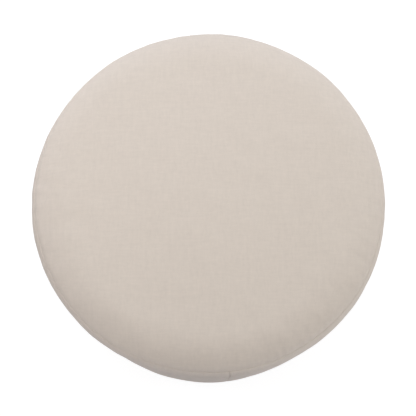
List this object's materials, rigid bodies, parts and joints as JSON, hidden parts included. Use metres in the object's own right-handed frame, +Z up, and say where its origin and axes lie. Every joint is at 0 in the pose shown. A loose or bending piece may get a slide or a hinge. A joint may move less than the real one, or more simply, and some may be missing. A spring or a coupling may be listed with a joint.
{
  "type": "upholstered pouf",
  "caption": "Round low pouf with a crowned cushioned top, a soft shoulder and upright sides in plain linen-look cloth, on flat glides.",
  "frame": {"origin": "on the floor, on the axis of the drum", "axes": "+Z up along the axis of the drum; -Y towards the front, which is the picture's nearer side; +X to the right of someone who looks at the front"},
  "size_m": [0.6, 0.6, 0.35],
  "materials": {
    "linen": "matte",
    "wadding": "matte",
    "foam": "matte",
    "plywood": "matte",
    "pine": "matte",
    "hardboard": "satin",
    "galvanised_steel": "satin",
    "nylon": "matte",
    "nonwoven": "matte"
  },
  "bodies": {
    "root": {"base_board": "plywood", "deck_board": "plywood", "post_1": "pine", "post_2": "pine", "post_3": "pine", "post_4": "pine", "post_5": "pine", "post_6": "pine", "drum_wall": "hardboard", "wall_staples": "galvanised_steel", "deck_screws": "galvanised_steel", "base_screws": "galvanised_steel", "seat_foam": "foam", "crown_pad": "foam", "side_foam": "foam", "top_wadding": "wadding", "top_cover": "linen", "side_cover_front": "linen", "side_cover_back": "linen", "hem_staples": "galvanised_steel", "dust_cover": "nonwoven", "dust_staples": "galvanised_steel", "glide_1": "nylon", "glide_2": "nylon", "glide_3": "nylon", "glide_4": "nylon", "glide_5": "nylon", "glide_6": "nylon", "glide_screws": "galvanised_steel"}
  },
  "joints": []
}
